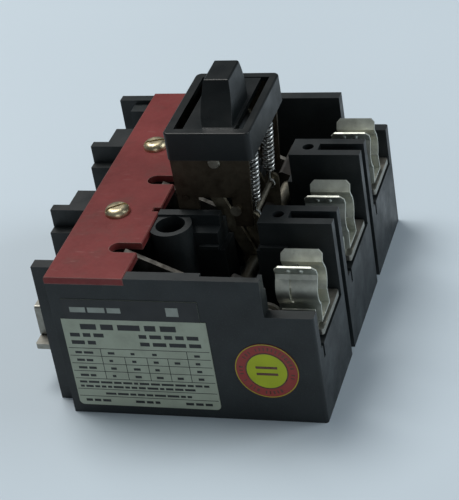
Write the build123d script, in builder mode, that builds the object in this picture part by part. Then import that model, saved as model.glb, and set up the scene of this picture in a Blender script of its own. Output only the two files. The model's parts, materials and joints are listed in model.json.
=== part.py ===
"""Three-pole fusible disconnect switch: moulded base, knife blades, fuse clips and a rocking toggle.

Millimetres. The origin is the centre of the base's underside, +Z is up, the line end is at -X
and the fuse clips are at +X. The switch stands in its OFF position, with the blades raised.
"""
from build123d import *
from math import atan2, cos, degrees, radians, sin
import os

os.makedirs("parts", exist_ok=True)

# ---- driving dimensions ----
BASE_LENGTH = 105.0
BASE_WIDTH = 148.0
BASE_HEIGHT = 65.0
POLE_PITCH = 51.2
POLES = {1: -POLE_PITCH, 2: 0.0, 3: POLE_PITCH}
FLOOR = 9.0
LEDGE_HEIGHT = 49.0
END_WALL_HEIGHT = 31.8
BARRIER_INNER = 19.8
BARRIER_OUTER = 33.0
GUARD_THICKNESS = 3.0

SWITCH_ANGLE = 26.0
BLADE_DEPTH = 9.0
BLADE_THICKNESS = 2.4
ROD_REACH = 13.5

STRAP_BOTTOM = 17.0
STRAP_THICKNESS = 2.4
CLIP_AXIS = 49.5
CLIP_RADIUS = 7.15
CLIP_SHEET = 0.8
PLATFORM_BOTTOM = 33.0
PLATFORM_TOP = 35.5
CLEAR = 0.05


def along(distance):
    """The frame's X at a distance from the base's line end."""
    return distance - BASE_LENGTH / 2


HALF_WIDTH = BASE_WIDTH / 2
LINE_END = along(0)
LOAD_END = along(BASE_LENGTH)
GUARD_UNDERSIDE = BASE_HEIGHT - GUARD_THICKNESS
STRAP_TOP = STRAP_BOTTOM + STRAP_THICKNESS
HANDLE_AXIS = (along(58.0), 86.0)
HINGE_AXIS = (along(79.0), 32.1)
BLADE_DIRECTION = (-cos(radians(SWITCH_ANGLE)), sin(radians(SWITCH_ANGLE)))
ROD_CENTRE = (HINGE_AXIS[0] + ROD_REACH * BLADE_DIRECTION[0], HINGE_AXIS[1] + ROD_REACH * BLADE_DIRECTION[1])
STUD_CENTRE = (
    HANDLE_AXIS[0] + ROD_CENTRE[0] - HINGE_AXIS[0],
    HANDLE_AXIS[1] + ROD_CENTRE[1] - HINGE_AXIS[1],
)
SPRING_TOP = (along(71.0), 90.5)
SPRING_HOOK = (along(67.8), 56.0)
SPRING_Y = 12.0
SPRING_COIL_RADIUS = 2.6


# ---- shapes used many times ----
def block(x_range, y_range, z_range, mode=Mode.ADD):
    """A box between two corners."""
    middle = tuple((low + high) / 2 for low, high in (x_range, y_range, z_range))
    size = [high - low for low, high in (x_range, y_range, z_range)]
    with Locations(middle):
        Box(*size, mode=mode)


def rod_y(centre, radius, y_range, mode=Mode.ADD):
    """A round rod along Y, about an (x, z) centre."""
    with BuildSketch(Plane.XZ.offset(-y_range[0])) as circle:
        with Locations(centre):
            Circle(radius)
    extrude(circle.sketch, amount=y_range[0] - y_range[1], mode=mode)


def rod_z(centre, radius, z_range, mode=Mode.ADD):
    """A round rod along Z, about an (x, y) centre."""
    with BuildSketch(Plane.XY.offset(z_range[0])) as circle:
        with Locations(centre):
            Circle(radius)
    extrude(circle.sketch, amount=z_range[1] - z_range[0], mode=mode)


def plate_y(points, y_range, mode=Mode.ADD):
    """A plate with a straight-sided outline of (x, z) points, between two y values."""
    with BuildSketch(Plane.XZ.offset(-y_range[0])) as outline:
        with BuildLine():
            Polyline(*points, close=True)
        make_face()
    extrude(outline.sketch, amount=y_range[0] - y_range[1], mode=mode)


def bar_y(start, end, width, y_range, mode=Mode.ADD):
    """A flat bar with round ends, from one (x, z) centre to another."""
    run = (end[0] - start[0], end[1] - start[1])
    length = (run[0] ** 2 + run[1] ** 2) ** 0.5
    middle = ((start[0] + end[0]) / 2, (start[1] + end[1]) / 2)
    with BuildSketch(Plane.XZ.offset(-y_range[0])) as outline:
        with Locations(Location(middle, degrees(atan2(run[1], run[0])))):
            SlotCenterToCenter(length, width)
    extrude(outline.sketch, amount=y_range[0] - y_range[1], mode=mode)


def screw_z(centre, seat, head_radius, head_height, shank_radius, shank_length, slot_angle=0):
    """A slotted round-head screw whose head stands up from its seat."""
    with Locations((centre[0], centre[1], seat + head_height / 2)):
        Cylinder(head_radius, head_height)
    fillet(faces().sort_by(Axis.Z)[-1].edges(), head_height * 0.85)
    with Locations(Location((centre[0], centre[1], seat + head_height), (0, 0, slot_angle))):
        Box(head_radius * 2.2, 1.2, head_height, mode=Mode.SUBTRACT)
    rod_z(centre, shank_radius, (seat - shank_length, seat))


def finish(piece, name):
    """Name a finished piece and write its STEP file."""
    piece.part.label = name
    export_step(piece.part, f"parts/{name}.step")


def mirrored(y_range):
    """The same span on the other side of the middle plane."""
    return (-y_range[1], -y_range[0])


# ---- base moulding ----
GUARD_EDGE = along(32.3)
BAY_START = along(86.0)
GAP = (23.8, 29.0)
WELL_X = along(39.3)
WELL_Y = 33.6
LOAD_HOLE_X = along(82.0)
LOAD_HOLE_Y = 26.4
GUARD_SCREW_X = along(15.0)
MOUNT_HOLE_RADIUS = 2.4
STRAP_SCREW_X = along(9.0)
CLIP_SCREW_X = along(95.5)
LUG_Y = 6.7
SCREW_HOLE = 1.9
FRAME_PLATE_Y = (21.7, 23.1)
LEG_LEFT = (along(40.3), along(48.7))
LEG_FOOT = 57.0
FIN_TOP = 64.0
ABOVE = BASE_HEIGHT + 1

with BuildPart() as base_moulding:
    block((LINE_END, LOAD_END), (-HALF_WIDTH, HALF_WIDTH), (0, BASE_HEIGHT))
    fillet(edges().filter_by(Axis.Z).group_by(Axis.X)[-1], 1.2)

    # fins and blocks that stand out past the line end, between the line terminals
    for fin in ((-23.8, -19.6), (28.2, 32.2), (69.6, HALF_WIDTH)):
        block((along(-15.6), LINE_END), fin, (0, FIN_TOP))
    for root in ((-28.3, -23.8), (24.0, 28.2)):
        block((along(-15.6), LINE_END), root, (0, 55.8))
    for shoulder in ((-65.7, -60.5), (-19.6, -8.3), (32.2, 43.6)):
        block((along(-8.7), LINE_END), shoulder, (0, FIN_TOP))
    block((along(-8.7), LINE_END), (63.0, 69.6), (0, 62.0))
    block((along(-9.7), LINE_END), (62.0, 67.5), (STRAP_BOTTOM - CLEAR, STRAP_TOP + CLEAR),
          mode=Mode.SUBTRACT)
    for pole_y in POLES.values():
        block((along(-6.0), LINE_END), (pole_y - 6.0, pole_y + 16.9), (0, STRAP_BOTTOM - 0.05))

    # pole compartments, open at the top
    for inner in ((-68.8, -BARRIER_OUTER), (-BARRIER_INNER, BARRIER_INNER), (BARRIER_OUTER, 68.8)):
        block((along(2.5), along(102.4)), inner, (FLOOR, ABOVE), mode=Mode.SUBTRACT)
        block((along(102.4) - 1, LOAD_END + 1), inner, (END_WALL_HEIGHT, ABOVE), mode=Mode.SUBTRACT)
    for pole_y in POLES.values():
        block((LINE_END - 1, along(3.5)), (pole_y - 5.1, pole_y + 16.3),
              (STRAP_BOTTOM - 0.05, STRAP_TOP + 0.1), mode=Mode.SUBTRACT)

    # outer walls step down to a ledge at the load end
    for outer in ((-HALF_WIDTH - 1, -68.7), (68.7, HALF_WIDTH + 1)):
        block((BAY_START, LOAD_END + 1), outer, (LEDGE_HEIGHT, ABOVE), mode=Mode.SUBTRACT)

    # air gaps between the poles at the load end
    for gap in (GAP, mirrored(GAP)):
        block((along(86.5), LOAD_END + 1), gap, (-1, ABOVE), mode=Mode.SUBTRACT)

    # barrier tops: one rib stays high, the rest is lower
    for side in (-1, 1):
        for low in ((19.7, 23.8), (27.7, 33.1)):
            span = low if side > 0 else mirrored(low)
            block((GUARD_EDGE, along(58.0)), span, (60.0, ABOVE), mode=Mode.SUBTRACT)

    # wells with a round boss, over the line-end mounting holes
    for well_y in (-WELL_Y, WELL_Y):
        rod_z((WELL_X, well_y), 8.6, (0, 64.0))
        rod_z((WELL_X, well_y), 6.0, (FLOOR + 3, ABOVE), mode=Mode.SUBTRACT)
        rod_z((WELL_X, well_y), MOUNT_HOLE_RADIUS, (-1, ABOVE), mode=Mode.SUBTRACT)

    # everything under the guard plate stops at its underside
    block((LINE_END - 0.35, GUARD_EDGE + 0.1), (-HALF_WIDTH - 1, HALF_WIDTH + 1), (GUARD_UNDERSIDE, ABOVE),
          mode=Mode.SUBTRACT)

    # notches for the crossbar, and wider upper notches for the frame legs
    for barrier in ((BARRIER_INNER - 0.5, BARRIER_OUTER + 0.5), (-BARRIER_OUTER - 0.5, -BARRIER_INNER + 0.5)):
        block((along(60.0), along(73.0)), barrier, (27.0, ABOVE), mode=Mode.SUBTRACT)
        block((along(58.0), along(75.0)), barrier, (54.0, ABOVE), mode=Mode.SUBTRACT)

    # slots that hold the frame's left legs
    for plate in (FRAME_PLATE_Y, mirrored(FRAME_PLATE_Y)):
        block((LEG_LEFT[0] - CLEAR, LEG_LEFT[1] + CLEAR), (plate[0] - CLEAR, plate[1] + CLEAR),
              (LEG_FOOT, ABOVE), mode=Mode.SUBTRACT)

    # through holes in the barriers for the load-end mounting screws, and the guard's screw holes
    for hole_y in (-LOAD_HOLE_Y, LOAD_HOLE_Y):
        rod_z((LOAD_HOLE_X, hole_y), MOUNT_HOLE_RADIUS, (-1, ABOVE), mode=Mode.SUBTRACT)
        rod_z((GUARD_SCREW_X, hole_y), 1.95, (44.0, ABOVE), mode=Mode.SUBTRACT)

    for pole_y in POLES.values():
        # post that carries the load platform, and ribs and ledges on the compartment walls
        block((along(89.5), along(102.4)), (pole_y - 9.0, pole_y + 14.0), (FLOOR - 1, PLATFORM_BOTTOM))
        block((along(74.0), along(86.0)), (pole_y - 20.0, pole_y - 16.0), (FLOOR - 1, 58.0))
        block((LINE_END + 1, along(30.0)), (pole_y - 4.0, pole_y + 15.2), (FLOOR - 1, STRAP_BOTTOM - 0.05))
        block((along(101.0), LOAD_END + 1), (pole_y - 15.7, pole_y - 13.7), (26.0, ABOVE), mode=Mode.SUBTRACT)
        # screw holes for the line strap and the fuse clip
        rod_z((STRAP_SCREW_X, pole_y + LUG_Y), SCREW_HOLE, (STRAP_TOP - 9.0, STRAP_BOTTOM + 1),
              mode=Mode.SUBTRACT)
        rod_z((CLIP_SCREW_X, pole_y), SCREW_HOLE, (27.0, PLATFORM_TOP), mode=Mode.SUBTRACT)
    for wall_y in (-34.6, 31.4):
        block((along(50.0), along(86.0)), (wall_y, wall_y + 3.2), (53.0, 54.6))
    for barrier in ((BARRIER_INNER - 2, BARRIER_OUTER + 2), (-BARRIER_OUTER - 2, -BARRIER_INNER + 2)):
        block((along(58.0), along(75.0)), barrier, (52.0, 56.0), mode=Mode.SUBTRACT)

    # rebate along the inner top of the front wall
    block((along(62.0), along(84.6)), (-71.0, -68.0), (63.0, ABOVE), mode=Mode.SUBTRACT)
finish(base_moulding, "base_moulding")

# ---- line guard plate and its screws ----
SLOT_WIDTH = 6.8
SLOT_INNER = along(20.0)
with BuildPart() as line_guard:
    block((along(-0.3), GUARD_EDGE), (-HALF_WIDTH, HALF_WIDTH), (GUARD_UNDERSIDE, BASE_HEIGHT))
    for pole_y in POLES.values():
        slot_y = pole_y - 1.0
        slot_start = SLOT_INNER + SLOT_WIDTH / 2
        rod_z((slot_start, slot_y), SLOT_WIDTH / 2, (GUARD_UNDERSIDE - 1, ABOVE), mode=Mode.SUBTRACT)
        block((slot_start, GUARD_EDGE + 1), (slot_y - SLOT_WIDTH / 2, slot_y + SLOT_WIDTH / 2),
              (GUARD_UNDERSIDE - 1, ABOVE), mode=Mode.SUBTRACT)
    block((along(29.5), GUARD_EDGE + 1), (-25.5, -22.5), (GUARD_UNDERSIDE - 1, ABOVE), mode=Mode.SUBTRACT)
    for hole_y in (-LOAD_HOLE_Y, LOAD_HOLE_Y):
        rod_z((GUARD_SCREW_X, hole_y), 2.2, (GUARD_UNDERSIDE - 1, ABOVE), mode=Mode.SUBTRACT)
    chamfer(faces().sort_by(Axis.Z)[-1].outer_wire().edges().filter_by(Axis.Y), 0.4)
finish(line_guard, "line_guard")

with BuildPart() as guard_screw_near:
    screw_z((GUARD_SCREW_X, -LOAD_HOLE_Y), BASE_HEIGHT, 5.2, 3.0, 1.9, 18.0, slot_angle=35)
with BuildPart() as guard_screw_far:
    screw_z((GUARD_SCREW_X, LOAD_HOLE_Y), BASE_HEIGHT, 5.2, 3.0, 1.9, 18.0, slot_angle=20)
with BuildPart() as guard_screws:
    add(guard_screw_near.part)
    add(guard_screw_far.part)
finish(guard_screws, "guard_screws")

# ---- line side of each pole: strap, box lug with its clamp screw, and the jaw the blade closes into ----
LUG_X = (along(-20.0), along(-8.0))
LUG_TOP = 33.6
LUG_HALF_WIDTH = 5.0
WIRE_Z = 24.4
WIRE_RADIUS = 3.2
JAW_X = (along(16.0), along(28.0))
JAW_TOP = 38.0
JAW_INNER = 1.6
JAW_OUTER = 2.6


def lug_middle(pole_y):
    """The (x, y) centre of a pole's lug."""
    return ((LUG_X[0] + LUG_X[1]) / 2, pole_y + LUG_Y)


for number, pole_y in POLES.items():
    lug_x, lug_y = lug_middle(pole_y)
    with BuildPart() as line_strap:
        block((LUG_X[0], along(29.0)), (pole_y - 4.6, pole_y + 16.0), (STRAP_BOTTOM, STRAP_TOP))
        fillet(edges().filter_by(Axis.Z), 1.0)
        rod_z((STRAP_SCREW_X, lug_y), 1.9, (STRAP_BOTTOM - 1, STRAP_TOP + 1), mode=Mode.SUBTRACT)
    finish(line_strap, f"line_strap_{number}")

    with BuildPart() as line_lug:
        block(LUG_X, (lug_y - LUG_HALF_WIDTH, lug_y + LUG_HALF_WIDTH), (STRAP_TOP, LUG_TOP))
        fillet(edges().filter_by(Axis.X), 1.2)
        with BuildSketch(Plane.YZ.offset(LUG_X[0] - 1)) as wire_hole:
            with Locations((lug_y, WIRE_Z)):
                Circle(WIRE_RADIUS)
        extrude(wire_hole.sketch, amount=LUG_X[1] - LUG_X[0] + 2, mode=Mode.SUBTRACT)
        rod_z((lug_x, lug_y), 2.6, (WIRE_Z, LUG_TOP + 1), mode=Mode.SUBTRACT)
    finish(line_lug, f"line_lug_{number}")

    with BuildPart() as line_jaw:
        block(JAW_X, (pole_y - JAW_OUTER - 1.6, pole_y + JAW_OUTER), (STRAP_TOP, STRAP_TOP + 1.2))
        for side in (-1, 1):
            leaf = (JAW_INNER, JAW_OUTER) if side > 0 else (-JAW_OUTER, -JAW_INNER)
            block(JAW_X, (pole_y + leaf[0], pole_y + leaf[1]), (STRAP_TOP, JAW_TOP))
        fillet(edges().filter_by(Axis.Y).group_by(Axis.Z)[-1], 2.0)
    finish(line_jaw, f"line_jaw_{number}")

lug_screw_solids = []
strap_screw_solids = []
for pole_y in POLES.values():
    with BuildPart() as lug_screw:
        rod_z(lug_middle(pole_y), 2.5, (WIRE_Z + 2.6, LUG_TOP + 0.8))
        with Locations((*lug_middle(pole_y), LUG_TOP + 0.8)):
            Box(6.0, 1.0, 1.6, mode=Mode.SUBTRACT)
    lug_screw_solids.append(lug_screw.part)
    with BuildPart() as strap_screw:
        screw_z((STRAP_SCREW_X, pole_y + LUG_Y), STRAP_TOP, 3.6, 2.0, 1.85, 8.0, slot_angle=25)
    strap_screw_solids.append(strap_screw.part)
with BuildPart() as lug_screws:
    add(lug_screw_solids)
finish(lug_screws, "lug_screws")
with BuildPart() as strap_screws:
    add(strap_screw_solids)
finish(strap_screws, "strap_screws")

# ---- load side of each pole: terminal bar, hinge jaw, clip bracket, fuse clip and their screws ----
TERMINAL_FOOT = (FLOOR, FLOOR + 2.5)
RISER = (along(86.2), along(88.7))
PLATFORM_X = (along(86.2), along(104.5))
PLATFORM_Y = (-10.3, 17.2)
EAR_INNER = 1.5
EAR_OUTER = 3.1
EAR_RADIUS = 6.0
PIN_RADIUS = 2.4
CLIP_X = (along(87.0), along(103.5))
BRACKET_X = (along(89.0), along(102.0))
BRACKET_BASE = (PLATFORM_TOP, PLATFORM_TOP + 1.0)
CLIP_BASE = BRACKET_BASE[1]
CLIP_CORNER = 2.0
LIP = (4.4, 56.8)
FLANGE_TIP = (6.4, 61.5)
CLIP_FOOT_HALF = 6.1
SPINE_RADIUS = CLIP_RADIUS + CLIP_SHEET / 2
SLIT_X = along(92.4)
SLIT_Z = (45.0, 55.0)
CLIP_MOUTH = (46.0, 134.0)
CLIP_UNDERSIDE = (230.0, 310.0)
CLIP_JOIN_LOW = -47.0
CLIP_JOIN_HIGH = 44.0


def clip_point(pole_y, radius, angle):
    """A (y, z) point round a pole's fuse axis."""
    return (pole_y + radius * cos(radians(angle)), CLIP_AXIS + radius * sin(radians(angle)))


for number, pole_y in POLES.items():
    with BuildPart() as load_terminal:
        block((along(70.0), RISER[1]), (pole_y - 7.5, pole_y + 7.5), TERMINAL_FOOT)
        block(RISER, (pole_y - 7.5, pole_y + 7.5), (FLOOR, PLATFORM_TOP))
        block(PLATFORM_X, (pole_y + PLATFORM_Y[0], pole_y + PLATFORM_Y[1]), (PLATFORM_BOTTOM, PLATFORM_TOP))
        fillet(edges().filter_by(Axis.Z).group_by(Axis.X)[-1], 1.0)
        rod_z((CLIP_SCREW_X, pole_y), 1.9, (PLATFORM_BOTTOM - 1, PLATFORM_TOP + 1), mode=Mode.SUBTRACT)
    finish(load_terminal, f"load_terminal_{number}")

    with BuildPart() as hinge_jaw:
        base_z = TERMINAL_FOOT[1]
        ear_x = (HINGE_AXIS[0] - EAR_RADIUS, HINGE_AXIS[0] + EAR_RADIUS)
        block(ear_x, (pole_y - EAR_OUTER, pole_y + EAR_OUTER), (base_z, base_z + 1.6))
        for ear in ((pole_y - EAR_OUTER, pole_y - EAR_INNER), (pole_y + EAR_INNER, pole_y + EAR_OUTER)):
            block(ear_x, ear, (base_z, HINGE_AXIS[1]))
            rod_y(HINGE_AXIS, EAR_RADIUS, ear)
        rod_y(HINGE_AXIS, PIN_RADIUS + 0.02, (pole_y - 4, pole_y + 4), mode=Mode.SUBTRACT)
    finish(hinge_jaw, f"hinge_jaw_{number}")

    with BuildPart() as clip_bracket:
        with BuildSketch(Plane.YZ.offset(BRACKET_X[0])) as section:
            with BuildLine():
                Polyline((pole_y - 9.2, 43.5), (pole_y - 9.2, BRACKET_BASE[0]),
                         (pole_y + 9.2, BRACKET_BASE[0]), (pole_y + 9.2, 43.5),
                         (pole_y + 8.2, 43.5), (pole_y + 8.2, BRACKET_BASE[1]),
                         (pole_y - 8.2, BRACKET_BASE[1]), (pole_y - 8.2, 43.5), close=True)
            make_face()
        extrude(section.sketch, amount=BRACKET_X[1] - BRACKET_X[0])
        rod_z((CLIP_SCREW_X, pole_y), 1.9, (BRACKET_BASE[0] - 1, BRACKET_BASE[1] + 1), mode=Mode.SUBTRACT)
    finish(clip_bracket, f"clip_bracket_{number}")

    # a sprung C round the ferrule, with flared entry flanges and a flat foot
    with BuildPart() as fuse_clip:
        with BuildSketch(Plane.YZ.offset(CLIP_X[0])) as section:
            with Locations((pole_y, CLIP_AXIS)):
                Circle(CLIP_RADIUS + CLIP_SHEET)
                Circle(CLIP_RADIUS, mode=Mode.SUBTRACT)
            for low, high in (CLIP_MOUTH, CLIP_UNDERSIDE):
                with BuildLine():
                    Polyline((pole_y, CLIP_AXIS), clip_point(pole_y, 2 * CLIP_RADIUS, low),
                             clip_point(pole_y, 2 * CLIP_RADIUS, high), close=True)
                make_face(mode=Mode.SUBTRACT)
            with BuildLine():
                Polyline(clip_point(pole_y, SPINE_RADIUS, 180 - CLIP_JOIN_LOW),
                         (pole_y - CLIP_FOOT_HALF, CLIP_BASE + CLIP_SHEET / 2),
                         (pole_y + CLIP_FOOT_HALF, CLIP_BASE + CLIP_SHEET / 2),
                         clip_point(pole_y, SPINE_RADIUS, CLIP_JOIN_LOW))
            trace(line_width=CLIP_SHEET)
            for side, angle in ((-1, 180 - CLIP_JOIN_HIGH), (1, CLIP_JOIN_HIGH)):
                with BuildLine():
                    Polyline(clip_point(pole_y, SPINE_RADIUS, angle), (pole_y + side * LIP[0], LIP[1]),
                             (pole_y + side * FLANGE_TIP[0], FLANGE_TIP[1] - CLIP_SHEET / 2))
                trace(line_width=CLIP_SHEET)
        extrude(section.sketch, amount=CLIP_X[1] - CLIP_X[0])
        # the flange corners are cropped, and a slit divides the belly on each side into two fingers
        for end, inward in ((CLIP_X[0], CLIP_CORNER), (CLIP_X[1], -CLIP_CORNER)):
            corner_low = FLANGE_TIP[1] - CLIP_CORNER
            corner_high = FLANGE_TIP[1] + 1
            corner = ((end, corner_low), (end, corner_high), (end + 1.5 * inward, corner_high))
            plate_y(corner, (pole_y - 12, pole_y + 12), mode=Mode.SUBTRACT)
        block((SLIT_X, SLIT_X + 0.9), (pole_y - 12, pole_y + 12), SLIT_Z, mode=Mode.SUBTRACT)
        rod_z((CLIP_SCREW_X, pole_y), SCREW_HOLE, (CLIP_BASE - 1, CLIP_BASE + 1.5), mode=Mode.SUBTRACT)
    finish(fuse_clip, f"fuse_clip_{number}")

clip_screw_solids = []
hinge_pin_solids = []
for pole_y in POLES.values():
    with BuildPart() as clip_screw:
        screw_z((CLIP_SCREW_X, pole_y), CLIP_BASE + CLIP_SHEET, 3.4, 1.8, 1.85, 9.0, slot_angle=15)
    clip_screw_solids.append(clip_screw.part)
    with BuildPart() as hinge_pin:
        rod_y(HINGE_AXIS, PIN_RADIUS, (pole_y - EAR_OUTER - 1.0, pole_y + EAR_OUTER + 1.0))
        for head in ((-EAR_OUTER - 1.2, -EAR_OUTER), (EAR_OUTER, EAR_OUTER + 1.2)):
            rod_y(HINGE_AXIS, PIN_RADIUS + 1.0, (pole_y + head[0], pole_y + head[1]))
    hinge_pin_solids.append(hinge_pin.part)
with BuildPart() as clip_screws:
    add(clip_screw_solids)
finish(clip_screws, "clip_screws")
with BuildPart() as hinge_pins:
    add(hinge_pin_solids)
finish(hinge_pins, "hinge_pins")

# ---- operating frame: side plates, shaft, spacer, spring anchor and rivets ----
SHAFT_RADIUS = 2.5
SPACER_CENTRE = (along(44.0), 70.0)
RIVET_CENTRE = (along(64.0), 64.6)
ESCUTCHEON_X = (along(39.5), along(74.8))
ESCUTCHEON_Z = (88.5, 100.5)
ESCUTCHEON_HALF = 25.4
ESCUTCHEON_WALL = 1.6
SIDE_PLATE = (
    (along(41.4), 98.3),
    (along(73.0), 98.3),
    (along(72.4), 88.0),
    (along(70.0), LEG_FOOT),
    (along(62.8), LEG_FOOT),
    (along(62.8), 70.3),
    (LEG_LEFT[1], 70.3),
    (LEG_LEFT[1], LEG_FOOT),
    (LEG_LEFT[0], LEG_FOOT),
    (along(39.9), 88.2),
    (along(41.4), 88.2),
)
for side, plate in (("near", mirrored(FRAME_PLATE_Y)), ("far", FRAME_PLATE_Y)):
    with BuildPart() as frame_side:
        plate_y(SIDE_PLATE, plate)
        fillet(edges().filter_by(Axis.Y).group_by(Axis.Z)[-1], 1.5)
        hole = (plate[0] - 1, plate[1] + 1)
        rod_y(HANDLE_AXIS, SHAFT_RADIUS + 0.02, hole, mode=Mode.SUBTRACT)
        rod_y(SPACER_CENTRE, 1.52, hole, mode=Mode.SUBTRACT)
        rod_y(SPRING_TOP, 1.32, hole, mode=Mode.SUBTRACT)
        rod_y(RIVET_CENTRE, 1.22, hole, mode=Mode.SUBTRACT)
    finish(frame_side, f"frame_side_{side}")

PLATE_INNER, PLATE_OUTER = FRAME_PLATE_Y
with BuildPart() as handle_shaft:
    rod_y(HANDLE_AXIS, SHAFT_RADIUS, (-PLATE_OUTER - 0.7, PLATE_OUTER + 0.7))
    chamfer(edges().filter_by(GeomType.CIRCLE), 0.5)
finish(handle_shaft, "handle_shaft")

with BuildPart() as frame_spacer:
    rod_y(SPACER_CENTRE, 2.2, (-PLATE_INNER, PLATE_INNER))
    rod_y(SPACER_CENTRE, 1.5, (-PLATE_OUTER - 0.9, PLATE_OUTER + 0.9))
finish(frame_spacer, "frame_spacer")

with BuildPart() as spring_anchor:
    rod_y(SPRING_TOP, 1.3, (-PLATE_OUTER - 0.4, PLATE_OUTER + 0.4))
finish(spring_anchor, "spring_anchor")

rivet_solids = []
for side in (-1, 1):
    with BuildPart() as frame_rivet:
        shank = (PLATE_INNER - 0.6, PLATE_OUTER) if side > 0 else (-PLATE_OUTER, -PLATE_INNER + 0.6)
        head = (PLATE_OUTER, PLATE_OUTER + 1.1) if side > 0 else (-PLATE_OUTER - 1.1, -PLATE_OUTER)
        rod_y(RIVET_CENTRE, 1.2, shank)
        rod_y(RIVET_CENTRE, 2.2, head)
    rivet_solids.append(frame_rivet.part)
with BuildPart() as frame_rivets:
    add(rivet_solids)
finish(frame_rivets, "frame_rivets")

# ---- escutcheon: a hollow cap with a window for the toggle ----
WINDOW_X = (along(43.2), along(71.6))
WINDOW_HALF = 21.5
with BuildPart() as escutcheon:
    block(ESCUTCHEON_X, (-ESCUTCHEON_HALF, ESCUTCHEON_HALF), ESCUTCHEON_Z)
    fillet(edges().filter_by(Axis.Z), 2.5)
    fillet(faces().sort_by(Axis.Z)[-1].edges(), 0.8)
    block((ESCUTCHEON_X[0] + ESCUTCHEON_WALL, ESCUTCHEON_X[1] - ESCUTCHEON_WALL),
          (-ESCUTCHEON_HALF + ESCUTCHEON_WALL, ESCUTCHEON_HALF - ESCUTCHEON_WALL),
          (ESCUTCHEON_Z[0] - 1, ESCUTCHEON_Z[1] - 2.0), mode=Mode.SUBTRACT)
    block(WINDOW_X, (-WINDOW_HALF, WINDOW_HALF), (ESCUTCHEON_Z[0], ESCUTCHEON_Z[1] + 1), mode=Mode.SUBTRACT)
    for pad in ((PLATE_OUTER, 24.0), (-24.0, -PLATE_OUTER)):
        for pad_x in (along(46.0), along(64.0)):
            block((pad_x, pad_x + 4.0), pad, (90.0, 98.0))
finish(escutcheon, "escutcheon")

# ---- toggle handle with its shutter, hub and crank ----
SHUTTER_X = (along(47.0), along(68.0))
SHUTTER_Z = (98.2, 100.3)
HUB_HALF = 15.4
KNOB_SECTIONS = (
    # height, low X, high X, near Y, far Y, rounding of the corner away from the window's middle
    (SHUTTER_Z[1] - 0.5, along(55.0), along(67.0), -20.7, 9.6, 7.0),
    (103.5, along(53.6), along(66.4), -17.0, 10.6, 6.0),
    (108.5, along(53.4), along(65.5), -12.4, 10.4, 3.6),
    (115.0, along(54.0), along(64.4), -8.3, 8.3, 1.3),
)
KNOB_CORNER = 1.2
with BuildPart() as toggle_handle:
    for height, low_x, high_x, near_y, far_y, far_rounding in KNOB_SECTIONS:
        with BuildSketch(Plane.XY.offset(height)) as section:
            with Locations(((low_x + high_x) / 2, (near_y + far_y) / 2)):
                Rectangle(high_x - low_x, far_y - near_y)
            by_depth = section.vertices().sort_by(Axis.Y)
            far_corners = by_depth[2:].sort_by(Axis.X)
            fillet(far_corners[-1], far_rounding)
            fillet([*by_depth[:2], far_corners[0]], KNOB_CORNER)
    loft()
    fillet(faces().sort_by(Axis.Z)[-1].edges(), 0.8)
    block(SHUTTER_X, (-21.0, 21.0), SHUTTER_Z)
    block((along(55.0), along(61.0)), (-HUB_HALF, HUB_HALF), (HANDLE_AXIS[1], SHUTTER_Z[0] + 0.5))
    rod_y(HANDLE_AXIS, 5.0, (-HUB_HALF, HUB_HALF))
    rod_y(HANDLE_AXIS, SHAFT_RADIUS + CLEAR, (-HUB_HALF - 1, HUB_HALF + 1), mode=Mode.SUBTRACT)
finish(toggle_handle, "toggle_handle")

ARM_THICKNESS = 1.6
STUD_RADIUS = 1.6
LINK_Y = (17.4, 19.0)
stud_solids = []
for side in (-1, 1):
    arm = (HUB_HALF, HUB_HALF + ARM_THICKNESS) if side > 0 else (-HUB_HALF - ARM_THICKNESS, -HUB_HALF)
    link = LINK_Y if side > 0 else mirrored(LINK_Y)
    name = "far" if side > 0 else "near"
    with BuildPart() as yoke_arm:
        bar_y(HANDLE_AXIS, STUD_CENTRE, 5.6, arm)
        rod_y(HANDLE_AXIS, 5.4, arm)
        rod_y(HANDLE_AXIS, SHAFT_RADIUS + CLEAR, (arm[0] - 1, arm[1] + 1), mode=Mode.SUBTRACT)
        rod_y(STUD_CENTRE, STUD_RADIUS + 0.02, (arm[0] - 1, arm[1] + 1), mode=Mode.SUBTRACT)
    finish(yoke_arm, f"yoke_arm_{name}")

    with BuildPart() as yoke_stud:
        span = (HUB_HALF, LINK_Y[1] + 0.3)
        rod_y(STUD_CENTRE, STUD_RADIUS, span if side > 0 else mirrored(span))
        cap = (LINK_Y[1] + 0.3, LINK_Y[1] + 0.9)
        rod_y(STUD_CENTRE, 2.4, cap if side > 0 else mirrored(cap))
    stud_solids.append(yoke_stud.part)

    with BuildPart() as link_bar:
        bar_y(STUD_CENTRE, ROD_CENTRE, 5.2, link)
        rod_y(ROD_CENTRE, 4.7, link)
        rod_y(STUD_CENTRE, STUD_RADIUS + CLEAR, (link[0] - 1, link[1] + 1), mode=Mode.SUBTRACT)
        rod_y(ROD_CENTRE, 3.2, (link[0] - 1, link[1] + 1), mode=Mode.SUBTRACT)
    finish(link_bar, f"link_{name}")
with BuildPart() as yoke_studs:
    add(stud_solids)
finish(yoke_studs, "yoke_studs")

# ---- crossbar with its blades ----
ROD_RADIUS = 2.9
ROD_HALF = 64.5
BLADE_TIP = 61.5


def blade_plane(y):
    """A plane whose first axis runs from the hinge along the blade, and whose normal is +Y."""
    return Plane(
        origin=(HINGE_AXIS[0], y, HINGE_AXIS[1]),
        x_dir=(BLADE_DIRECTION[0], 0, BLADE_DIRECTION[1]),
        z_dir=(0, 1, 0),
    )


with BuildPart() as crossbar_rod:
    rod_y(ROD_CENTRE, ROD_RADIUS, (-ROD_HALF, ROD_HALF))
    chamfer(edges().filter_by(GeomType.CIRCLE), 0.5)
finish(crossbar_rod, "crossbar_rod")

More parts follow.
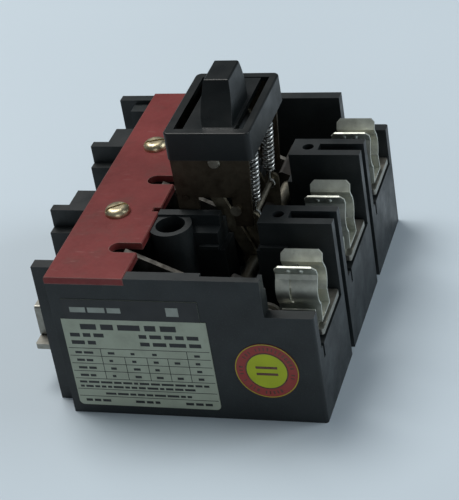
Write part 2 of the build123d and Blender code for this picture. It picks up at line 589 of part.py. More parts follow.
for number, pole_y in POLES.items():
    half = 15.0 if number == 2 else 12.0
    with BuildPart() as blade_carrier:
        with BuildSketch(blade_plane(pole_y - half)) as section:
            with Locations((ROD_REACH, 0)):
                RectangleRounded(12.0, 11.0, 1.5)
                Circle(ROD_RADIUS + 0.02, mode=Mode.SUBTRACT)
        extrude(section.sketch, amount=2 * half)
        with BuildSketch(blade_plane(pole_y - BLADE_THICKNESS / 2 - 0.02)) as slot:
            with Locations((ROD_REACH, 0)):
                Rectangle(14.0, BLADE_DEPTH + 0.04)
        extrude(slot.sketch, amount=BLADE_THICKNESS + 0.04, mode=Mode.SUBTRACT)
    finish(blade_carrier, f"blade_carrier_{number}")

    with BuildPart() as blade:
        with BuildSketch(blade_plane(pole_y - BLADE_THICKNESS / 2)) as outline:
            Circle(BLADE_DEPTH / 2)
            with Locations((BLADE_TIP / 2, 0)):
                Rectangle(BLADE_TIP, BLADE_DEPTH)
            fillet(outline.vertices().sort_by(Axis.X)[:2], 2.0)
            Circle(PIN_RADIUS + CLEAR, mode=Mode.SUBTRACT)
            with Locations((ROD_REACH, 0)):
                Circle(ROD_RADIUS + 0.02, mode=Mode.SUBTRACT)
        extrude(outline.sketch, amount=BLADE_THICKNESS)
    finish(blade, f"blade_{number}")

LEVER_Y = (15.0, 16.4)
for side, lever in (("near", mirrored(LEVER_Y)), ("far", LEVER_Y)):
    with BuildPart() as spring_lever:
        bar_y(ROD_CENTRE, SPRING_HOOK, 6.0, lever)
        rod_y(ROD_CENTRE, 4.6, lever)
        rod_y(ROD_CENTRE, ROD_RADIUS + 0.02, (lever[0] - 1, lever[1] + 1), mode=Mode.SUBTRACT)
        rod_y(SPRING_HOOK, 1.22, (lever[0] - 1, lever[1] + 1), mode=Mode.SUBTRACT)
    finish(spring_lever, f"spring_lever_{side}")
with BuildPart() as spring_pin:
    rod_y(SPRING_HOOK, 1.2, (-LEVER_Y[1] - 0.3, LEVER_Y[1] + 0.3))
finish(spring_pin, "spring_pin")

# ---- return springs, as closed cylinders of the coils' outer size with a hook at each end ----
SPRING_RUN = (SPRING_TOP[0] - SPRING_HOOK[0], SPRING_TOP[1] - SPRING_HOOK[1])
SPRING_LENGTH = (SPRING_RUN[0] ** 2 + SPRING_RUN[1] ** 2) ** 0.5
for side, spring_y in (("near", -SPRING_Y), ("far", SPRING_Y)):
    hook_point = (SPRING_HOOK[0], spring_y, SPRING_HOOK[1])
    axis_plane = Plane(origin=hook_point, z_dir=(SPRING_RUN[0], 0, SPRING_RUN[1]))
    with BuildPart() as spring:
        for radius, start, stop in ((0.6, 1.4, 6.0), (SPRING_COIL_RADIUS, 6.0, SPRING_LENGTH - 5.0),
                                    (0.6, SPRING_LENGTH - 5.0, SPRING_LENGTH - 1.5)):
            with BuildSketch(axis_plane.offset(start)) as circle:
                Circle(radius)
            extrude(circle.sketch, amount=stop - start)
    finish(spring, f"spring_{side}")

# ---- label and sticker on the front face ----
LABEL_THICKNESS = 0.25
FRONT = (-HALF_WIDTH - LABEL_THICKNESS, -HALF_WIDTH)
with BuildPart() as rating_label:
    block((along(3.2), along(62.5)), FRONT, (4.2, 45.9))
    fillet(edges().filter_by(Axis.Y).group_by(Axis.Z)[0], 2.0)
    block((along(4.9), along(60.3)), FRONT, (45.9, 55.2))
finish(rating_label, "rating_label")

with BuildPart() as round_sticker:
    rod_y((along(83.7), 24.2), 12.7, FRONT)
finish(round_sticker, "round_sticker")
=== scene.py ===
"""Looks of the three-pole fusible disconnect switch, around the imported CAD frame. Metres."""

import json
import math
import random

import bmesh
import bpy
from mathutils import Matrix, Vector


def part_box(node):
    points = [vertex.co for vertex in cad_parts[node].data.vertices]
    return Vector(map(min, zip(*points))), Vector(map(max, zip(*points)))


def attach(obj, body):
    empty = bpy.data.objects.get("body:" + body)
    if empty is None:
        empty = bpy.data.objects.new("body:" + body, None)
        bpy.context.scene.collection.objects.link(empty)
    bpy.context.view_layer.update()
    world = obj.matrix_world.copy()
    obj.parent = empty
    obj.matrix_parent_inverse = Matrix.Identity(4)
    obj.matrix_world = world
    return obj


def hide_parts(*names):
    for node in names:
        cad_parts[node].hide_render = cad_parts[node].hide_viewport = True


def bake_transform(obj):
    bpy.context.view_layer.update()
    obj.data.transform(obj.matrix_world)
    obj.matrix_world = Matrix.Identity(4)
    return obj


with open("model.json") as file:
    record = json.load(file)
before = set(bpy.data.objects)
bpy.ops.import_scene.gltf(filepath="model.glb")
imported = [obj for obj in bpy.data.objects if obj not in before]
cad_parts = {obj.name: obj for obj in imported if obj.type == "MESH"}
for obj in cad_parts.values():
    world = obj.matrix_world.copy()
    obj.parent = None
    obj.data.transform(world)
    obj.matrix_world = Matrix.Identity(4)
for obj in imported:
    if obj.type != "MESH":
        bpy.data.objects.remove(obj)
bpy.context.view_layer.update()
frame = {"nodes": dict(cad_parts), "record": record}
nodes = frame["nodes"]
MM = 0.001
random.seed(7)


# ---------------------------------------------------------------- camera, in the part's own frame
CAMERA_PLACE = Vector((0.2206, -0.6014, 0.4267))
CAMERA_RIGHT = Vector((0.95491, 0.25781, -0.14722))
CAMERA_UP = Vector((-0.01808, 0.54547, 0.83793))
CAMERA_FORWARD = Vector((-0.29633, 0.79749, -0.52554))
LENS = 129.7
SENSOR_WIDTH = 36.0
FAR_CLIP = 20.0
camera = bpy.data.objects.new("camera", bpy.data.cameras.new("camera"))
bpy.context.scene.collection.objects.link(camera)
camera.data.lens = LENS
camera.data.sensor_width = SENSOR_WIDTH
camera.data.clip_end = FAR_CLIP
turn = Matrix((CAMERA_RIGHT, CAMERA_UP, -CAMERA_FORWARD)).transposed()
camera.matrix_world = Matrix.Translation(CAMERA_PLACE) @ turn.to_4x4()
bpy.context.scene.camera = camera
bpy.context.scene.view_settings.view_transform = "Standard"


# ---------------------------------------------------------------- materials
class Surface:
    """A Principled material with short calls for the textures that feed it."""

    def __init__(self, name, metallic=0.0, specular=0.5):
        self.material = bpy.data.materials.new(name)
        self.material.use_nodes = True
        self.tree = self.material.node_tree
        self.shader = self.tree.nodes["Principled BSDF"]
        self.shader.inputs["Metallic"].default_value = metallic
        self.shader.inputs["Specular IOR Level"].default_value = specular
        self.place = self.tree.nodes.new("ShaderNodeTexCoord")
        self.height = None

    def link(self, source, target):
        """Feed a socket from another socket, a number or a colour."""
        if isinstance(source, bpy.types.NodeSocket):
            self.tree.links.new(source, target)
        elif isinstance(source, (int, float)):
            target.default_value = source
        else:
            target.default_value = (*source, 1.0)

    def noise(self, per_metre, detail=4.0, roughness=0.55, stretch=(1, 1, 1), offset=0.0):
        """Cloudy noise in the object's own coordinates."""
        mapping = self.tree.nodes.new("ShaderNodeMapping")
        mapping.inputs["Scale"].default_value = stretch
        mapping.inputs["Location"].default_value = (offset, offset, offset)
        self.tree.links.new(self.place.outputs["Object"], mapping.inputs["Vector"])
        texture = self.tree.nodes.new("ShaderNodeTexNoise")
        texture.inputs["Scale"].default_value = per_metre
        texture.inputs["Detail"].default_value = detail
        texture.inputs["Roughness"].default_value = roughness
        self.tree.links.new(mapping.outputs["Vector"], texture.inputs["Vector"])
        return texture.outputs["Fac"]

    def spread(self, source, low, high, to_low=0.0, to_high=1.0):
        """Stretch a range of values to another, and clamp it."""
        node = self.tree.nodes.new("ShaderNodeMapRange")
        node.inputs["From Min"].default_value = low
        node.inputs["From Max"].default_value = high
        node.inputs["To Min"].default_value = to_low
        node.inputs["To Max"].default_value = to_high
        self.tree.links.new(source, node.inputs["Value"])
        return node.outputs["Result"]

    def math(self, operation, a, b):
        node = self.tree.nodes.new("ShaderNodeMath")
        node.operation = operation
        self.link(a, node.inputs[0])
        self.link(b, node.inputs[1])
        return node.outputs["Value"]

    def mix(self, factor, a, b):
        node = self.tree.nodes.new("ShaderNodeMix")
        node.data_type = "RGBA"
        self.link(factor, node.inputs["Factor"])
        self.link(a, node.inputs["A"])
        self.link(b, node.inputs["B"])
        return node.outputs["Result"]

    def facing_up(self):
        """1 on faces that look up, 0 on the others."""
        split = self.tree.nodes.new("ShaderNodeSeparateXYZ")
        self.tree.links.new(self.place.outputs["Normal"], split.inputs["Vector"])
        return self.spread(split.outputs["Z"], 0.55, 0.95)

    def edges(self, radius):
        """Near 1 on outer and inner edges, 0 on flat faces."""
        rounded = self.tree.nodes.new("ShaderNodeBevel")
        rounded.samples = 4
        rounded.inputs["Radius"].default_value = radius
        flat = self.tree.nodes.new("ShaderNodeNewGeometry")
        dot = self.tree.nodes.new("ShaderNodeVectorMath")
        dot.operation = "DOT_PRODUCT"
        self.tree.links.new(rounded.outputs["Normal"], dot.inputs[0])
        self.tree.links.new(flat.outputs["Normal"], dot.inputs[1])
        return self.spread(dot.outputs["Value"], 0.99, 0.8)

    def bump(self, height, depth, strength=1.0):
        """Add relief of a given depth on top of the relief so far."""
        node = self.tree.nodes.new("ShaderNodeBump")
        node.inputs["Strength"].default_value = strength
        node.inputs["Distance"].default_value = depth
        self.tree.links.new(height, node.inputs["Height"])
        if self.height is None:
            self.tree.links.new(node.outputs["Normal"], self.shader.inputs["Normal"])
        else:
            self.tree.links.new(node.outputs["Normal"], self.height.inputs["Normal"])
        self.height = node

    def set(self, colour, roughness):
        """Feed the shader's colour and roughness, and give back the material."""
        self.link(colour, self.shader.inputs["Base Color"])
        self.link(roughness, self.shader.inputs["Roughness"])
        return self.material


def shade(colour, factor):
    """A colour made darker or lighter."""
    return tuple(channel * factor for channel in colour)


# Paler edge colour: rubbed wear together with a painted edge highlight.
RUBBED_EDGE_AND_HIGHLIGHT = (0.12, 0.13, 0.135)
SETTLED_DUST = (0.13, 0.14, 0.14)
EDGE_LOOK = 0.45 * MM


def moulded(name, colour, dust=0.35, edge_wear_and_highlight=0.5, gloss=(0.34, 0.58), specular=0.4):
    """Old thermoset moulding: fine grain, flow tone, settled dust, and paler edges that are partly rubbed
    wear and partly a painted highlight.
    """
    s = Surface(name, specular=specular)
    tone = s.mix(s.spread(s.noise(55, 4), 0.3, 0.7), shade(colour, 0.7), shade(colour, 1.35))
    speck = s.spread(s.noise(1700, 3, 0.7), 0.54, 0.72, 0.0, 0.6)
    tone = s.mix(speck, tone, shade(colour, 3.0))
    # Edges lightened: partly rubbed wear, partly a painted highlight where edges would catch light.
    wear_and_highlight = s.math("MULTIPLY", s.edges(EDGE_LOOK), s.spread(s.noise(300, 5), 0.35, 0.65, 0.1, edge_wear_and_highlight))
    tone = s.mix(wear_and_highlight, tone, RUBBED_EDGE_AND_HIGHLIGHT)
    settled = s.math("MULTIPLY", s.facing_up(), s.spread(s.noise(120, 6, 0.65), 0.38, 0.72, 0.0, dust))
    tone = s.mix(settled, tone, SETTLED_DUST)
    rough = s.spread(s.noise(90, 5, 0.6, offset=3.0), 0.3, 0.7, *gloss)
    s.bump(s.noise(1500, 3, 0.6), 0.03 * MM, 0.6)
    s.bump(s.noise(160, 3), 0.12 * MM, 0.35)
    return s.set(tone, rough)


FIBRE_DARK = (0.135, 0.022, 0.021)
FIBRE_BRIGHT = (0.2, 0.035, 0.034)
FIBRE_THREAD = (0.23, 0.05, 0.048)
FIBRE_DIRT = (0.1, 0.055, 0.045)
# Grey-brown edge colour: edge dirt together with a painted edge highlight.
FIBRE_EDGE_DIRT_AND_HIGHLIGHT = (0.2, 0.13, 0.115)
FIBRE_SCRATCH = (0.28, 0.12, 0.11)


def fibre(name):
    """Red vulcanised fibre: mottled, scratched, with brown-grey dirt, and grey-brown edges that are partly
    dirt and partly a painted highlight.
    """
    s = Surface(name, specular=0.22)
    tone = s.mix(s.spread(s.noise(45, 5, 0.6), 0.3, 0.7), FIBRE_DARK, FIBRE_BRIGHT)
    fibres = s.spread(s.noise(700, 4, 0.7), 0.45, 0.75, 0.0, 0.4)
    tone = s.mix(fibres, tone, FIBRE_THREAD)
    dirt = s.spread(s.noise(75, 8, 0.7, offset=1.7), 0.52, 0.78, 0.0, 0.55)
    tone = s.mix(dirt, tone, FIBRE_DIRT)
    # Edges lightened: partly dirt, partly a painted highlight where edges would catch light.
    rim = s.math("MULTIPLY", s.edges(0.8 * MM), s.spread(s.noise(220, 5), 0.3, 0.6, 0.25, 0.9))
    tone = s.mix(rim, tone, FIBRE_EDGE_DIRT_AND_HIGHLIGHT)
    scratches = s.spread(s.noise(420, 2, 0.4, stretch=(0.3, 1.6, 1.0), offset=5.0), 0.69, 0.74, 0.0, 0.3)
    tone = s.mix(scratches, tone, FIBRE_SCRATCH)
    s.bump(s.noise(900, 4, 0.7), 0.05 * MM, 0.6)
    return s.set(tone, s.spread(s.noise(150, 4, offset=9.0), 0.3, 0.7, 0.4, 0.66))


def metal(name, colour, rough, tarnish, tarnish_share=0.5, grain=(1, 1, 1)):
    """Plated sheet or turned metal, with drawn grain, smudges, darker tarnish in blotches and a painted
    highlight on the edges.
    """
    s = Surface(name, metallic=1.0)
    tone = s.mix(s.spread(s.noise(180, 4), 0.3, 0.7), shade(colour, 0.82), shade(colour, 1.1))
    blotch = s.spread(s.noise(130, 7, 0.68, offset=2.0), 0.46, 0.72, 0.0, tarnish_share)
    tone = s.mix(blotch, tone, tarnish)
    pits = s.spread(s.noise(1900, 3, 0.6, offset=4.0), 0.64, 0.74, 0.0, 0.5)
    tone = s.mix(pits, tone, shade(tarnish, 0.6))
    # Painted highlight: edges lightened as if catching light.
    painted_edge_highlight = s.math("MULTIPLY", s.edges(0.3 * MM), 0.25)
    tone = s.mix(painted_edge_highlight, tone, shade(colour, 1.25))
    s.bump(s.noise(1600, 3, 0.5, stretch=grain), 0.02 * MM, 0.7)
    s.bump(s.noise(210, 3), 0.06 * MM, 0.3)
    return s.set(tone, s.spread(s.noise(260, 5, 0.6, offset=6.0), 0.3, 0.7, *rough))


def printed(name, colour, fade, gloss=(0.3, 0.5)):
    """Printed foil or paper: faint mottling, scuffs and dirt towards the edges."""
    s = Surface(name, specular=0.4)
    tone = s.mix(s.spread(s.noise(120, 5), 0.3, 0.7), colour, fade)
    dirt = s.spread(s.noise(90, 8, 0.7, offset=3.3), 0.55, 0.8, 0.0, 0.3)
    tone = s.mix(dirt, tone, shade(fade, 0.45))
    rim = s.math("MULTIPLY", s.edges(0.4 * MM), 0.35)
    tone = s.mix(rim, tone, shade(fade, 0.5))
    s.bump(s.noise(700, 3), 0.02 * MM, 0.5)
    return s.set(tone, s.spread(s.noise(200, 4, offset=1.0), 0.3, 0.7, *gloss))


BASE_BLACK = moulded("base_moulding", (0.0085, 0.0115, 0.0125), dust=0.03, edge_wear_and_highlight=0.25)
CAP_BLACK = moulded("escutcheon", (0.004, 0.0056, 0.006), dust=0.05, edge_wear_and_highlight=0.22, gloss=(0.32, 0.48),
                    specular=0.3)
TOGGLE_BLACK = moulded("toggle", (0.0035, 0.005, 0.0054), dust=0.05, edge_wear_and_highlight=0.3, gloss=(0.26, 0.42),
                       specular=0.3)
CARRIER_BLACK = moulded("carrier", (0.02, 0.017, 0.015), dust=0.2)
RED_FIBRE = fibre("guard")
CLIP_TIN = metal("tinned_clip", (0.58, 0.6, 0.54), (0.4, 0.6), (0.24, 0.24, 0.19), 0.42,
                 grain=(1, 0.2, 0.2))
BAR_TIN = metal("tinned_bar", (0.34, 0.335, 0.3), (0.35, 0.6), (0.17, 0.15, 0.12), 0.6, grain=(0.2, 1, 1))
SCREW_PLATE = metal("screws", (0.62, 0.54, 0.36), (0.25, 0.5), (0.16, 0.11, 0.06), 0.7)
BLADE_COPPER = metal("blade_copper", (0.42, 0.4, 0.36), (0.35, 0.55), (0.13, 0.1, 0.07), 0.6,
                     grain=(0.1, 1, 1))
FRAME_STEEL = metal("frame_steel", (0.085, 0.07, 0.05), (0.4, 0.62), (0.035, 0.026, 0.018), 0.8)
LINK_STEEL = metal("linkage_steel", (0.3, 0.27, 0.2), (0.35, 0.6), (0.07, 0.05, 0.03), 0.8)
PIN_STEEL = metal("pins", (0.36, 0.34, 0.28), (0.32, 0.52), (0.11, 0.08, 0.05), 0.7)
SPRING_STEEL = metal("spring_wire", (0.5, 0.51, 0.5), (0.24, 0.4), (0.16, 0.14, 0.1), 0.5)
LABEL_CREAM = printed("label", (0.345, 0.385, 0.305), (0.29, 0.32, 0.25))
LABEL_BLACK = printed("label_ink", (0.008, 0.009, 0.01), (0.016, 0.017, 0.018))
LABEL_PALE = printed("label_pale_ink", (0.3, 0.33, 0.3), (0.22, 0.24, 0.21))
STICKER_RED = printed("sticker", (0.3, 0.03, 0.024), (0.24, 0.034, 0.028), (0.3, 0.45))
STICKER_YELLOW = printed("sticker_yellow", (0.4, 0.47, 0.008), (0.35, 0.41, 0.008), (0.4, 0.55))
STICKER_DARK = printed("sticker_dark", (0.09, 0.03, 0.02), (0.12, 0.05, 0.03), (0.22, 0.4))

LOOKS = {
    "base_moulding": BASE_BLACK,
    "escutcheon": CAP_BLACK,
    "toggle": TOGGLE_BLACK,
    "carrier": CARRIER_BLACK,
    "guard": RED_FIBRE,
    "tinned_clip": CLIP_TIN,
    "tinned_bar": BAR_TIN,
    "screws": SCREW_PLATE,
    "blade_copper": BLADE_COPPER,
    "frame_steel": FRAME_STEEL,
    "linkage_steel": LINK_STEEL,
    "pins": PIN_STEEL,
    "spring_wire": SPRING_STEEL,
    "label": LABEL_CREAM,
    "sticker": STICKER_RED,
}
slot_of = {part["node"]: part["material_slot"] for part in frame["record"]["subparts"]}
for name, node in nodes.items():
    node.data.materials.clear()
    node.data.materials.append(LOOKS[slot_of[name]])


# ---------------------------------------------------------------- mesh helpers
SHARP_ANGLE = math.radians(35)


def piece(name, mesh_data, material, body):
    """Finish a bmesh as a named piece. It rides on a body, or on none."""
    mesh = bpy.data.meshes.new(name)
    mesh_data.to_mesh(mesh)
    mesh_data.free()
    thing = bpy.data.objects.new(name, mesh)
    bpy.context.scene.collection.objects.link(thing)
    mesh.materials.append(material)
    for polygon in mesh.polygons:
        polygon.use_smooth = True
    mesh.set_sharp_from_angle(angle=SHARP_ANGLE)
    if body:
        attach(thing, body)
    return thing


def add_box(mesh_data, low, high):
    """A box between two corners."""
    low, high = Vector(low), Vector(high)
    matrix = Matrix.Translation((low + high) / 2) @ Matrix.Diagonal((*(high - low), 1.0))
    bmesh.ops.create_cube(mesh_data, size=1.0, matrix=matrix)


def add_tube(mesh_data, path, radius, sides=10):
    """A round wire along a list of points, with its rings turned as little as possible."""
    rings = []
    normal = None
    for index, point in enumerate(path):
        ahead = path[min(index + 1, len(path) - 1)]
        behind = path[max(index - 1, 0)]
        tangent = (ahead - behind).normalized()
        if normal is None:
            normal = tangent.orthogonal().normalized()
        else:
            normal = (normal - tangent * normal.dot(tangent)).normalized()
        other = tangent.cross(normal)
        ring = []
        for side in range(sides):
            angle = 2 * math.pi * side / sides
            spoke = math.cos(angle) * normal + math.sin(angle) * other
            ring.append(mesh_data.verts.new(point + radius * spoke))
        rings.append(ring)
    for first, second in zip(rings, rings[1:]):
        for side in range(sides):
            after = (side + 1) % sides
            mesh_data.faces.new((first[side], first[after], second[after], second[side]))
    mesh_data.faces.new(reversed(rings[0]))
    mesh_data.faces.new(rings[-1])


# ---------------------------------------------------------------- return springs, coiled from one wire
WIRE_RADIUS = 0.6 * MM
COIL_RADIUS = 1.95 * MM
COILS = 12
COIL_STEPS = 24
FOOT_PIN_RADIUS = 1.2 * MM
TOP_PIN_RADIUS = 1.3 * MM
HOOK_CLEAR = 0.05 * MM
HOOK_TURN = math.radians(250)
HOOK_STEPS = 14
FOOT_REACH = 6.2 * MM
TOP_REACH = 5.2 * MM
FOOT_LEAD = 2.2 * MM
TOP_LEAD = 1.4 * MM

anchor_low, anchor_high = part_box("spring_anchor")
pin_low, pin_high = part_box("spring_pin")
SPRING_TOP = (anchor_low + anchor_high) / 2
SPRING_FOOT = (pin_low + pin_high) / 2


def hook(centre, radius, along, side_axis, start, stop):
    """An open loop of wire round a pin, between two angles measured from the spring's line."""
    points = []
    for step in range(HOOK_STEPS + 1):
        angle = start + (stop - start) * step / HOOK_STEPS
        points.append(centre + radius * (math.cos(angle) * along + math.sin(angle) * side_axis))
    return points


def spring_path(foot, top, line):
    """The wire's route: a hook round the lower pin, the coils, and a hook round the upper pin."""
    side_axis = line.cross(Vector((0, 1, 0))).normalized()
    depth_axis = line.cross(side_axis)
    foot_hook = FOOT_PIN_RADIUS + WIRE_RADIUS + HOOK_CLEAR
    top_hook = TOP_PIN_RADIUS + WIRE_RADIUS + HOOK_CLEAR
    coil_stop = (top - foot).length - TOP_REACH
    path = hook(foot, foot_hook, line, side_axis, -HOOK_TURN, 0.0)
    path.append(foot + line * (FOOT_REACH - FOOT_LEAD))
    for step in range(COILS * COIL_STEPS + 1):
        share = step / (COILS * COIL_STEPS)
        angle = 2 * math.pi * COILS * share
        reach = COIL_RADIUS * min(1.0, share * COILS * 2, (1 - share) * COILS * 2)
        centre = foot + line * (FOOT_REACH + (coil_stop - FOOT_REACH) * share)
        path.append(centre + reach * (math.cos(angle) * side_axis + math.sin(angle) * depth_axis))
    path.append(foot + line * (coil_stop + TOP_LEAD))
    path += hook(top, top_hook, -line, side_axis, 0.0, HOOK_TURN)
    return path


for name in ("spring_near", "spring_far"):
    low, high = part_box(name)
    y = (low.y + high.y) / 2
    top = Vector((SPRING_TOP.x, y, SPRING_TOP.z))
    foot = Vector((SPRING_FOOT.x, y, SPRING_FOOT.z))
    line = (top - foot).normalized()
    wire = bmesh.new()
    add_tube(wire, spring_path(foot, top, line), WIRE_RADIUS)
    coil = piece(f"{name}_coil", wire, SPRING_STEEL, None)
    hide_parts(name)
    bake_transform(coil)


# ---------------------------------------------------------------- label, with bars where the print was
label_low, label_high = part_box("rating_label")
sticker_low, sticker_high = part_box("round_sticker")
FACE = label_low.y
INK = 0.03 * MM
HEADER_HEIGHT = 9.3 * MM
HEADER_LEFT = label_low.x + 1.7 * MM
HEADER_RIGHT = label_high.x - 2.2 * MM
HEADER_PRINT = label_high.z - 5.2 * MM


def add_bar(mesh_data, x_range, z_range, layer=0):
    """A thin bar of ink on the front face. Layer 1 lies on layer 0."""
    back = FACE - layer * INK
    front = FACE - (layer + 1) * INK
    add_box(mesh_data, (x_range[0], front, z_range[0]), (x_range[1], back, z_range[1]))


def word_bars(mesh_data, start, stop, z, height, shortest, longest):
    """A row of plain bars of uneven length, where a line of print would be."""
    x = start
    while x < stop - shortest:
        end = min(x + random.uniform(shortest, longest), stop)
        add_bar(mesh_data, (x, end), (z, z + height))
        x = end + height * 0.7


header = bmesh.new()
add_bar(header, (HEADER_LEFT, HEADER_RIGHT), (label_high.z - HEADER_HEIGHT, label_high.z))
piece("label_header", header, LABEL_BLACK, "root")

header_print = bmesh.new()
for start, stop in ((3.0, 9.5), (10.4, 17.5), (18.4, 24.0)):
    add_bar(header_print, (HEADER_LEFT + start * MM, HEADER_LEFT + stop * MM),
            (HEADER_PRINT - 0.8 * MM, HEADER_PRINT + 1.6 * MM), layer=1)
add_bar(header_print, (HEADER_RIGHT - 13 * MM, HEADER_RIGHT - 8 * MM),
        (HEADER_PRINT - 1.6 * MM, HEADER_PRINT + 2.4 * MM), layer=1)
piece("label_header_bars", header_print, LABEL_PALE, "root")

PRINT_LEFT = label_low.x + 4.5 * MM
PRINT_RIGHT = label_high.x - 4.5 * MM
PRINT_MIDDLE = label_low.x + 31 * MM
FOIL_TOP = label_high.z - HEADER_HEIGHT
LABEL_WIDTH = label_high.x - label_low.x
ROW_PRINT = 1.8 * MM
TABLE_TOP = FOIL_TOP - 14.0 * MM
TABLE_ROW = 3.7 * MM
TABLE_ROWS = 4
TABLE_BOTTOM = TABLE_TOP - TABLE_ROWS * TABLE_ROW
TABLE_PRINT = 1.1 * MM
RULE_WIDTH = 0.26 * MM
RULE_MARGIN = 0.6 * MM


def add_rule(mesh_data, z):
    """A thin line across the label."""
    add_bar(mesh_data, (label_low.x + RULE_MARGIN, label_high.x - RULE_MARGIN), (z, z + RULE_WIDTH))


ink = bmesh.new()
# title, and two rows in two columns
word_bars(ink, PRINT_LEFT + 3 * MM, PRINT_RIGHT - 8 * MM, FOIL_TOP - 4.8 * MM, 2.6 * MM, 4 * MM, 12 * MM)
for drop in (8.4, 12.0):
    row_z = FOIL_TOP - drop * MM
    word_bars(ink, PRINT_LEFT - 2 * MM, PRINT_LEFT + 12 * MM, row_z, ROW_PRINT, 3 * MM, 6 * MM)
    word_bars(ink, PRINT_MIDDLE, PRINT_RIGHT + 1 * MM, row_z, ROW_PRINT, 3 * MM, 7 * MM)

# table: rules, dividers as shares of the label's width, and a short bar in most cells
for row in range(TABLE_ROWS + 1):
    add_rule(ink, TABLE_TOP - row * TABLE_ROW)
for share, full_height in ((0.23, True), (0.39, False), (0.545, False), (0.69, False), (0.83, True)):
    x = label_low.x + share * LABEL_WIDTH
    divider_top = TABLE_TOP if full_height else TABLE_TOP - TABLE_ROW
    add_bar(ink, (x, x + RULE_WIDTH), (TABLE_BOTTOM, divider_top))
for row in range(TABLE_ROWS):
    z = TABLE_TOP - (row + 0.68) * TABLE_ROW
    word_bars(ink, label_low.x + 3 * MM, label_low.x + 10.5 * MM, z, TABLE_PRINT, 2 * MM, 4 * MM)
    for share in (0.28, 0.44, 0.59, 0.735, 0.88):
        x = label_low.x + share * LABEL_WIDTH
        if random.random() < 0.75:
            add_bar(ink, (x, x + random.uniform(1.4, 3.0) * MM), (z, z + TABLE_PRINT))

# below the table: two rows, a rule, a centred row, a rule, and a last row in three groups
for drop, start, stop in ((2.1, 2, 56), (4.2, 2, 50), (7.6, 12, 48)):
    word_bars(ink, label_low.x + start * MM, label_low.x + stop * MM, TABLE_BOTTOM - drop * MM,
              1.0 * MM, 1.5 * MM, 5 * MM)
for drop in (5.2, 8.7):
    add_rule(ink, TABLE_BOTTOM - drop * MM)
for start, stop in ((3, 14), (24, 35), (45, 56)):
    word_bars(ink, label_low.x + start * MM, label_low.x + stop * MM, TABLE_BOTTOM - 11.2 * MM,
              1.2 * MM, 2 * MM, 5 * MM)
piece("label_print", ink, LABEL_BLACK, "root")


# ---------------------------------------------------------------- round seal, with plain rings and bars
SEAL = (sticker_low + sticker_high) / 2
SEAL_RADIUS = (sticker_high.x - sticker_low.x) / 2
RING_SIDES = 72
MARKS = 40


def add_ring(mesh_data, inner, outer, layer=0):
    """A flat ring of ink about the seal's centre, between two radii."""
    back = FACE - layer * INK
    front = FACE - (layer + 1) * INK
    loops = []
    for radius, y in ((inner, back), (inner, front), (outer, front), (outer, back)):
        loop = []
        for side in range(RING_SIDES):
            angle = 2 * math.pi * side / RING_SIDES
            x = SEAL.x + radius * math.cos(angle)
            z = SEAL.z + radius * math.sin(angle)
            loop.append(mesh_data.verts.new((x, y, z)))
        loops.append(loop)
    for first, second in zip(loops, loops[1:] + loops[:1]):
        for side in range(RING_SIDES):
            after = (side + 1) % RING_SIDES
            mesh_data.faces.new((first[side], first[after], second[after], second[side]))


centre_disc = bmesh.new()
add_ring(centre_disc, 0.01 * MM, SEAL_RADIUS * 0.66)
piece("seal_centre", centre_disc, STICKER_YELLOW, "root")

rim = bmesh.new()
add_ring(rim, SEAL_RADIUS * 0.965, SEAL_RADIUS * 0.985)
piece("seal_rim", rim, STICKER_YELLOW, "root")

marks = bmesh.new()
for number in range(MARKS):
    angle = 2 * math.pi * number / MARKS
    if random.random() < 0.8:
        spoke = Vector((math.cos(angle), 0, math.sin(angle)))
        middle = SEAL + spoke * SEAL_RADIUS * 0.81
        place = Matrix.Translation((middle.x, FACE - INK / 2, middle.z)) @ Matrix.Rotation(-angle, 4, "Y")
        size = Matrix.Diagonal((SEAL_RADIUS * 0.12, INK, random.uniform(0.5, 1.0) * MM, 1.0))
        bmesh.ops.create_cube(marks, size=1.0, matrix=place @ size)
piece("seal_marks", marks, STICKER_DARK, "root")

seal_print = bmesh.new()
add_ring(seal_print, SEAL_RADIUS * 0.63, SEAL_RADIUS * 0.675, layer=1)
for share in (-0.16, 0.08):
    add_bar(seal_print, (SEAL.x - SEAL_RADIUS * 0.34, SEAL.x + SEAL_RADIUS * 0.34),
            (SEAL.z + SEAL_RADIUS * share, SEAL.z + SEAL_RADIUS * (share + 0.09)), layer=1)
piece("seal_bars", seal_print, STICKER_DARK, "root")


# ---------------------------------------------------------------- pressed dimples in the clips' entry flanges
DIMPLE_RADIUS = 1.1 * MM
DIMPLE_FLATNESS = 0.7
DIMPLE_DROP = 2.3 * MM
DIMPLE_REACH = 5.4 * MM
DIMPLE_SHIFT = 0.35 * MM


def add_dome(mesh_data, centre, outward):
    """A low dome that shows on both faces of a sheet, with its short axis along the sheet's normal."""
    turned = Vector((1, 0, 0)).rotation_difference(outward).to_matrix().to_4x4()
    matrix = Matrix.Translation(centre) @ turned @ Matrix.Diagonal((DIMPLE_FLATNESS, 1.0, 1.0, 1.0))
    bmesh.ops.create_uvsphere(mesh_data, u_segments=20, v_segments=12, radius=DIMPLE_RADIUS, matrix=matrix)


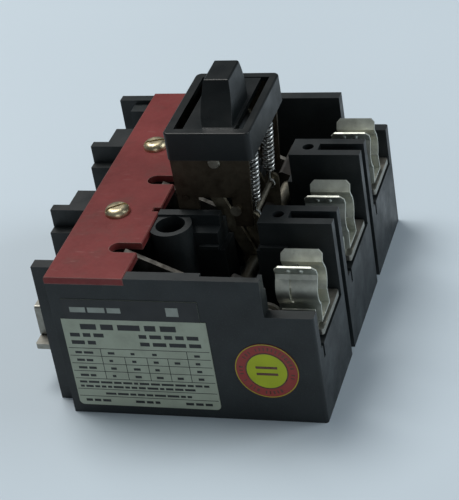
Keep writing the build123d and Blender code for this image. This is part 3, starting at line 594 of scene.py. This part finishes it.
for number in (1, 2, 3):
    low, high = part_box(f"fuse_clip_{number}")
    middle_y = (low.y + high.y) / 2
    dimples = bmesh.new()
    for side in (-1, 1):
        outward = Vector((0, side * 0.915, -0.405))
        for x in (5.4, 10.4):
            on_flange = Vector((low.x + x * MM, middle_y + side * DIMPLE_REACH, high.z - DIMPLE_DROP))
            add_dome(dimples, on_flange + outward * DIMPLE_SHIFT, outward)
    piece(f"clip_dimples_{number}", dimples, CLIP_TIN, "root")


# ---------------------------------------------------------------- floor and light
FLOOR_DEEP = (0.565, 0.65, 0.715)
FLOOR_PALE = (0.595, 0.68, 0.745)
FLOOR_HALF = 6.0
SKY = (0.82, 0.92, 1.0, 1.0)
SKY_STRENGTH = 0.16

floor_surface = Surface("floor", specular=0.2)
floor_surface.bump(floor_surface.noise(300, 3), 0.05 * MM, 0.2)
floor_cloud = floor_surface.spread(floor_surface.noise(3, 2), 0.3, 0.7)
floor_surface.set(floor_surface.mix(floor_cloud, FLOOR_DEEP, FLOOR_PALE), 0.7)
floor_data = bmesh.new()
bmesh.ops.create_grid(floor_data, x_segments=2, y_segments=2, size=FLOOR_HALF)
floor_mesh = bpy.data.meshes.new("floor")
floor_data.to_mesh(floor_mesh)
floor_data.free()
floor = bpy.data.objects.new("floor", floor_mesh)
bpy.context.scene.collection.objects.link(floor)
floor_mesh.materials.append(floor_surface.material)

world = bpy.data.worlds.new("studio")
bpy.context.scene.world = world
world.use_nodes = True
sky = world.node_tree.nodes["Background"]
sky.inputs["Color"].default_value = SKY
sky.inputs["Strength"].default_value = SKY_STRENGTH


def area_light(name, place, target, size, power, colour):
    """A large soft light that points at a target."""
    light = bpy.data.objects.new(name, bpy.data.lights.new(name, "AREA"))
    light.data.size = size
    light.data.energy = power
    light.data.color = colour
    light.location = place
    light.rotation_euler = (Vector(target) - Vector(place)).to_track_quat("-Z", "Y").to_euler()
    bpy.context.scene.collection.objects.link(light)


area_light("overhead", (-0.55, 0.35, 1.3), (0, 0, 0.05), 0.8, 16.0, (1.0, 0.985, 0.96))
area_light("front_fill", (0.5, -1.5, 0.25), (0, 0, 0.03), 0.9, 4.0, (0.92, 0.97, 1.0))
area_light("right_fill", (1.3, 0.3, 0.8), (0, 0, 0.05), 0.8, 8.0, (0.9, 0.96, 1.0))
